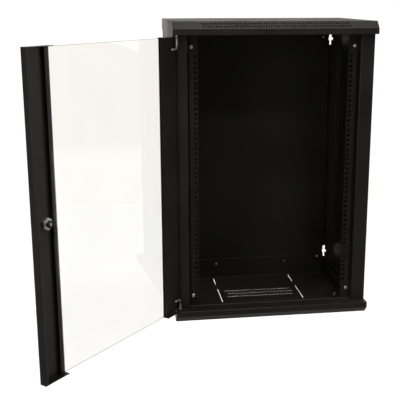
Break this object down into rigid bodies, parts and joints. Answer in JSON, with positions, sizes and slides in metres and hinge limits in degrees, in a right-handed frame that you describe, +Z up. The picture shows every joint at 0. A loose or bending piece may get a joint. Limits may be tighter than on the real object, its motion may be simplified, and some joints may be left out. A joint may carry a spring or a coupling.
{
  "type": "rack cabinet",
  "caption": "Wall-mount rack cabinet with a hinged glass door, slotted top edge, square-hole rack rails, keyholes for wall screws and a vented cable entry.",
  "frame": {"origin": "centre of the cabinet box's underside, left to right and front to back", "axes": "+X to the right seen from the front, +Y from the door to the wall, +Z up"},
  "size_m": [0.9757, 0.8391, 0.901],
  "materials": {
    "cabinet_coat": "fine-textured satin black powder coat",
    "rail_coat": "satin black powder coat",
    "door_coat": "fine-textured satin black powder coat",
    "zinc": "bright zinc plate",
    "spring_steel": "plain spring wire",
    "lock_metal": "polished plate",
    "earth_metal": "dull zinc plate",
    "seal": "matt black",
    "glass": "clear toughened"
  },
  "bodies": {
    "cabinet": {"top_fascia": "cabinet_coat", "bottom_fascia": "cabinet_coat", "top_cover": "cabinet_coat", "bottom_cover": "cabinet_coat", "top_entry_panel": "cabinet_coat", "bottom_entry_panel": "cabinet_coat", "rear_panel": "cabinet_coat", "left_side_panel": "cabinet_coat", "left_front_post": "cabinet_coat", "left_rear_post": "cabinet_coat", "right_side_panel": "cabinet_coat", "right_front_post": "cabinet_coat", "right_rear_post": "cabinet_coat", "left_rack_rail": "rail_coat", "left_upper_depth_bar": "rail_coat", "left_upper_rail_bracket": "rail_coat", "left_lower_depth_bar": "rail_coat", "left_lower_rail_bracket": "rail_coat", "right_rack_rail": "rail_coat", "right_upper_depth_bar": "rail_coat", "right_upper_rail_bracket": "rail_coat", "right_lower_depth_bar": "rail_coat", "right_lower_rail_bracket": "rail_coat", "rail_screws": "zinc", "bracket_bolts": "zinc", "rear_panel_screws": "zinc", "earth_stud": "earth_metal"},
    "door": {"lock_stile": "door_coat", "hinge_stile": "door_coat", "door_glass": "glass", "lock_side_seal": "seal", "hinge_side_seal": "seal", "lock_housing": "lock_metal", "lock_nut": "zinc", "upper_pin_guide": "door_coat", "lower_pin_guide": "door_coat", "upper_pin_spring": "spring_steel", "lower_pin_spring": "spring_steel"},
    "upper_pin": {"upper_hinge_pin": "zinc", "upper_pin_clip": "zinc"},
    "lower_pin": {"lower_hinge_pin": "zinc", "lower_pin_clip": "zinc"},
    "cam": {"lock_plug": "lock_metal", "lock_cam": "zinc", "cam_screw": "zinc"}
  },
  "joints": [
    {"name": "door_hinge", "type": "hinge", "parent": "cabinet", "child": "door", "pos_m": [-0.288, -0.189, 0.45], "axis": [0, 0, 1], "range_deg": [-49.4, 130.6]},
    {"name": "upper_pin_slide", "type": "slide", "parent": "door", "child": "upper_pin", "axis": [0, 0, -1], "range_m": [0, 0.012], "stiffness_N_per_m": 300, "springref_m": -0.01, "deforming": ["upper_pin_spring"]},
    {"name": "lower_pin_slide", "type": "slide", "parent": "door", "child": "lower_pin", "axis": [0, 0, 1], "range_m": [0, 0.012], "stiffness_N_per_m": 300, "springref_m": -0.01, "deforming": ["lower_pin_spring"]},
    {"name": "lock_turn", "type": "hinge", "parent": "door", "child": "cam", "pos_m": [-0.63584, -0.59483, 0.441], "axis": [-0.7593, 0.6508, 0], "range_deg": [0, 90]}
  ]
}
